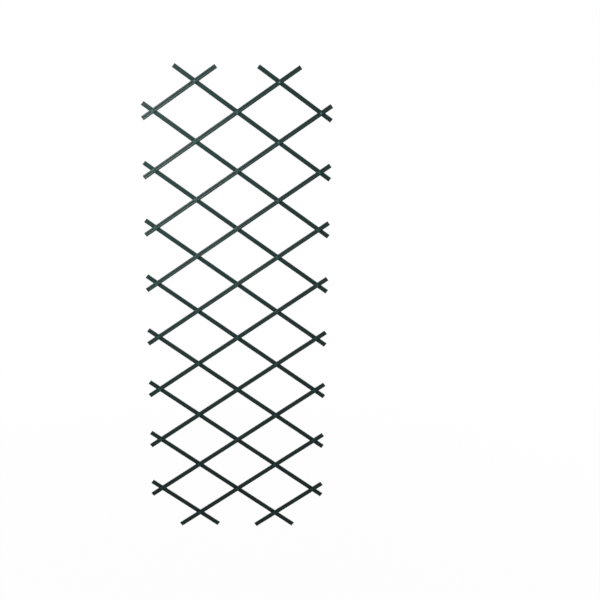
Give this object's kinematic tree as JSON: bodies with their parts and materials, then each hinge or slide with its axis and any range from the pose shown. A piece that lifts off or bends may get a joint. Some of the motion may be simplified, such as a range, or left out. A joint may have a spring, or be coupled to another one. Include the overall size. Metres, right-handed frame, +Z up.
{
  "type": "expandable trellis",
  "caption": "Expandable garden trellis of hollow plastic slats, riveted where they cross, so that the lattice folds flat and draws open like scissors.",
  "frame": {"origin": "middle of the opened lattice, halfway between its layers of slats", "axes": "+Z up the trellis, +X to the right seen from the front, +Y from the front layer to the wall"},
  "size_m": [0.5244, 0.0126, 1.429],
  "materials": {
    "slat_plastic": "satin",
    "rivet_lacquer": "satin"
  },
  "bodies": {
    "centre_rivet": {"rivet_c2_r07": "rivet_lacquer"},
    "front_slat_01": {"front_slat_01": "slat_plastic", "rivet_c1_r00": "rivet_lacquer"},
    "front_slat_02": {"front_slat_02": "slat_plastic", "rivet_c0_r03": "rivet_lacquer", "rivet_c1_r02": "rivet_lacquer", "rivet_c2_r01": "rivet_lacquer", "rivet_c3_r00": "rivet_lacquer"},
    "front_slat_03": {"front_slat_03": "slat_plastic", "rivet_c0_r05": "rivet_lacquer", "rivet_c1_r04": "rivet_lacquer", "rivet_c2_r03": "rivet_lacquer", "rivet_c3_r02": "rivet_lacquer", "rivet_c4_r01": "rivet_lacquer"},
    "front_slat_04": {"front_slat_04": "slat_plastic", "rivet_c0_r07": "rivet_lacquer", "rivet_c1_r06": "rivet_lacquer", "rivet_c2_r05": "rivet_lacquer", "rivet_c3_r04": "rivet_lacquer", "rivet_c4_r03": "rivet_lacquer"},
    "front_slat_05": {"front_slat_05": "slat_plastic", "rivet_c0_r09": "rivet_lacquer", "rivet_c1_r08": "rivet_lacquer", "rivet_c3_r06": "rivet_lacquer", "rivet_c4_r05": "rivet_lacquer"},
    "front_slat_06": {"front_slat_06": "slat_plastic", "rivet_c0_r11": "rivet_lacquer", "rivet_c1_r10": "rivet_lacquer", "rivet_c2_r09": "rivet_lacquer", "rivet_c3_r08": "rivet_lacquer", "rivet_c4_r07": "rivet_lacquer"},
    "front_slat_07": {"front_slat_07": "slat_plastic", "rivet_c0_r13": "rivet_lacquer", "rivet_c1_r12": "rivet_lacquer", "rivet_c2_r11": "rivet_lacquer", "rivet_c3_r10": "rivet_lacquer", "rivet_c4_r09": "rivet_lacquer"},
    "front_slat_08": {"front_slat_08": "slat_plastic", "rivet_c0_r15": "rivet_lacquer", "rivet_c1_r14": "rivet_lacquer", "rivet_c2_r13": "rivet_lacquer", "rivet_c3_r12": "rivet_lacquer", "rivet_c4_r11": "rivet_lacquer"},
    "front_slat_09": {"front_slat_09": "slat_plastic", "rivet_c1_r16": "rivet_lacquer", "rivet_c2_r15": "rivet_lacquer", "rivet_c3_r14": "rivet_lacquer", "rivet_c4_r13": "rivet_lacquer"},
    "front_slat_10": {"front_slat_10": "slat_plastic", "rivet_c3_r16": "rivet_lacquer"},
    "back_slat_01": {"back_slat_01": "slat_plastic"},
    "back_slat_02": {"back_slat_02": "slat_plastic"},
    "back_slat_03": {"back_slat_03": "slat_plastic"},
    "back_slat_04": {"back_slat_04": "slat_plastic"},
    "back_slat_05": {"back_slat_05": "slat_plastic"},
    "back_slat_06": {"back_slat_06": "slat_plastic"},
    "back_slat_07": {"back_slat_07": "slat_plastic"},
    "back_slat_08": {"back_slat_08": "slat_plastic"},
    "back_slat_09": {"back_slat_09": "slat_plastic"},
    "back_slat_10": {"back_slat_10": "slat_plastic"}
  },
  "joints": [
    {"name": "fold", "type": "hinge", "parent": "centre_rivet", "child": "front_slat_05", "pos_m": [0, 0, 0.08347], "axis": [0, -1, 0], "range_deg": [-33.4, 51.4]},
    {"name": "pivot_c2_r07", "type": "hinge", "parent": "centre_rivet", "child": "back_slat_05", "pos_m": [0, 0, 0.08347], "axis": [0, -1, 0], "range_deg": [-51.4, 33.4]},
    {"name": "pivot_c4_r05", "type": "hinge", "parent": "front_slat_05", "child": "back_slat_03", "pos_m": [0.22976, 0, 0.2504], "axis": [0, -1, 0], "range_deg": [-102.8, 66.8]},
    {"name": "pivot_c3_r06", "type": "hinge", "parent": "front_slat_05", "child": "back_slat_04", "pos_m": [0.11488, 0, 0.16693], "axis": [0, -1, 0], "range_deg": [-102.8, 66.8]},
    {"name": "pivot_c1_r08", "type": "hinge", "parent": "front_slat_05", "child": "back_slat_06", "pos_m": [-0.11488, 0, 0], "axis": [0, -1, 0], "range_deg": [-102.8, 66.8]},
    {"name": "pivot_c0_r09", "type": "hinge", "parent": "front_slat_05", "child": "back_slat_07", "pos_m": [-0.22976, 0, -0.08347], "axis": [0, -1, 0], "range_deg": [-102.8, 66.8]},
    {"name": "pivot_c0_r05", "type": "hinge", "parent": "back_slat_05", "child": "front_slat_03", "pos_m": [-0.22976, 0, 0.2504], "axis": [0, -1, 0], "range_deg": [-66.8, 102.8]},
    {"name": "pivot_c1_r06", "type": "hinge", "parent": "back_slat_05", "child": "front_slat_04", "pos_m": [-0.11488, 0, 0.16693], "axis": [0, -1, 0], "range_deg": [-66.8, 102.8]},
    {"name": "pivot_c3_r08", "type": "hinge", "parent": "back_slat_05", "child": "front_slat_06", "pos_m": [0.11488, 0, 0], "axis": [0, -1, 0], "range_deg": [-66.8, 102.8]},
    {"name": "pivot_c4_r09", "type": "hinge", "parent": "back_slat_05", "child": "front_slat_07", "pos_m": [0.22976, 0, -0.08347], "axis": [0, -1, 0], "range_deg": [-66.8, 102.8]},
    {"name": "pivot_c3_r12", "type": "hinge", "parent": "back_slat_07", "child": "front_slat_08", "pos_m": [0.11488, 0, -0.33386], "axis": [0, -1, 0], "range_deg": [-66.8, 102.8]},
    {"name": "pivot_c4_r13", "type": "hinge", "parent": "back_slat_07", "child": "front_slat_09", "pos_m": [0.22976, 0, -0.41733], "axis": [0, -1, 0], "range_deg": [-66.8, 102.8]},
    {"name": "pivot_c1_r02", "type": "hinge", "parent": "back_slat_03", "child": "front_slat_02", "pos_m": [-0.11488, 0, 0.50079], "axis": [0, -1, 0], "range_deg": [-66.8, 102.8]},
    {"name": "pivot_c0_r01", "type": "hinge", "parent": "back_slat_03", "child": "front_slat_01", "pos_m": [-0.22976, 0, 0.58426], "axis": [0, -1, 0], "range_deg": [-66.8, 102.8]},
    {"name": "pivot_c1_r12", "type": "hinge", "parent": "front_slat_07", "child": "back_slat_08", "pos_m": [-0.11488, 0, -0.33386], "axis": [0, -1, 0], "range_deg": [-102.8, 66.8]},
    {"name": "pivot_c0_r13", "type": "hinge", "parent": "front_slat_07", "child": "back_slat_09", "pos_m": [-0.22976, 0, -0.41733], "axis": [0, -1, 0], "range_deg": [-102.8, 66.8]},
    {"name": "pivot_c3_r02", "type": "hinge", "parent": "front_slat_03", "child": "back_slat_02", "pos_m": [0.11488, 0, 0.50079], "axis": [0, -1, 0], "range_deg": [-102.8, 66.8]},
    {"name": "pivot_c4_r01", "type": "hinge", "parent": "front_slat_03", "child": "back_slat_01", "pos_m": [0.22976, 0, 0.58426], "axis": [0, -1, 0], "range_deg": [-102.8, 66.8]},
    {"name": "pivot_c4_r15", "type": "hinge", "parent": "back_slat_08", "child": "front_slat_10", "pos_m": [0.22976, 0, -0.58426], "axis": [0, -1, 0], "range_deg": [-66.8, 102.8]},
    {"name": "pivot_c0_r15", "type": "hinge", "parent": "front_slat_08", "child": "back_slat_10", "pos_m": [-0.22976, 0, -0.58426], "axis": [0, -1, 0], "range_deg": [-102.8, 66.8]}
  ],
  "couplings": [
    {"joint": "pivot_c2_r07", "follows": "fold", "ratio": -1},
    {"joint": "pivot_c4_r05", "follows": "fold", "ratio": -2},
    {"joint": "pivot_c3_r06", "follows": "fold", "ratio": -2},
    {"joint": "pivot_c1_r08", "follows": "fold", "ratio": -2},
    {"joint": "pivot_c0_r09", "follows": "fold", "ratio": -2},
    {"joint": "pivot_c0_r05", "follows": "fold", "ratio": 2},
    {"joint": "pivot_c1_r06", "follows": "fold", "ratio": 2},
    {"joint": "pivot_c3_r08", "follows": "fold", "ratio": 2},
    {"joint": "pivot_c4_r09", "follows": "fold", "ratio": 2},
    {"joint": "pivot_c3_r12", "follows": "fold", "ratio": 2},
    {"joint": "pivot_c4_r13", "follows": "fold", "ratio": 2},
    {"joint": "pivot_c1_r02", "follows": "fold", "ratio": 2},
    {"joint": "pivot_c0_r01", "follows": "fold", "ratio": 2},
    {"joint": "pivot_c1_r12", "follows": "fold", "ratio": -2},
    {"joint": "pivot_c0_r13", "follows": "fold", "ratio": -2},
    {"joint": "pivot_c3_r02", "follows": "fold", "ratio": -2},
    {"joint": "pivot_c4_r01", "follows": "fold", "ratio": -2},
    {"joint": "pivot_c4_r15", "follows": "fold", "ratio": 2},
    {"joint": "pivot_c0_r15", "follows": "fold", "ratio": -2}
  ]
}
